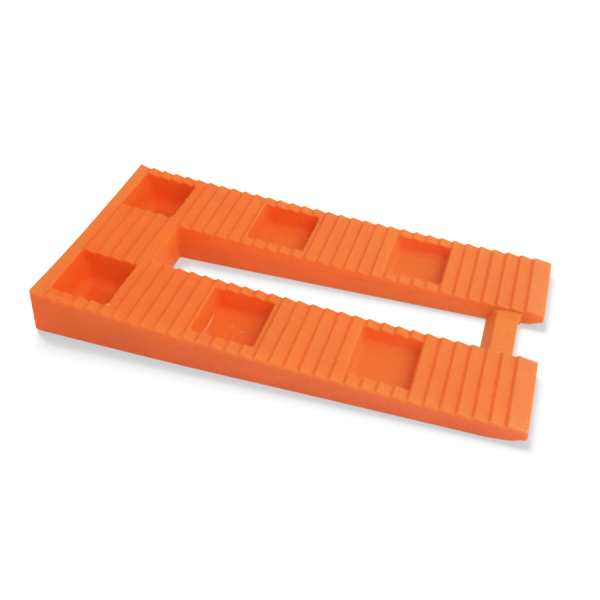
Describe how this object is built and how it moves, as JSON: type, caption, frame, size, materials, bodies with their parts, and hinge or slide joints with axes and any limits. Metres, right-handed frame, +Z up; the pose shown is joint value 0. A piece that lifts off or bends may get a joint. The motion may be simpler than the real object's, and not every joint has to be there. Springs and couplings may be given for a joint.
{
  "type": "slotted levelling wedge",
  "caption": "Tapered horseshoe-shaped plastic levelling wedge with a ratchet-toothed ramp, a slot open at the toe, blind core pockets and a break-off tie bar.",
  "frame": {"origin": "centre of the wedge's outline, on its flat underside", "axes": "+X from the thick head to the thin toe, +Y across to the left leg, +Z up from the underside to the teeth"},
  "size_m": [0.1002, 0.0546, 0.0107],
  "materials": {
    "orange_plastic": "translucent orange polypropylene, satin as moulded"
  },
  "bodies": {
    "root": {"head_block": "orange_plastic", "leg_left": "orange_plastic", "leg_right": "orange_plastic", "tie_bar": "orange_plastic"}
  },
  "joints": []
}
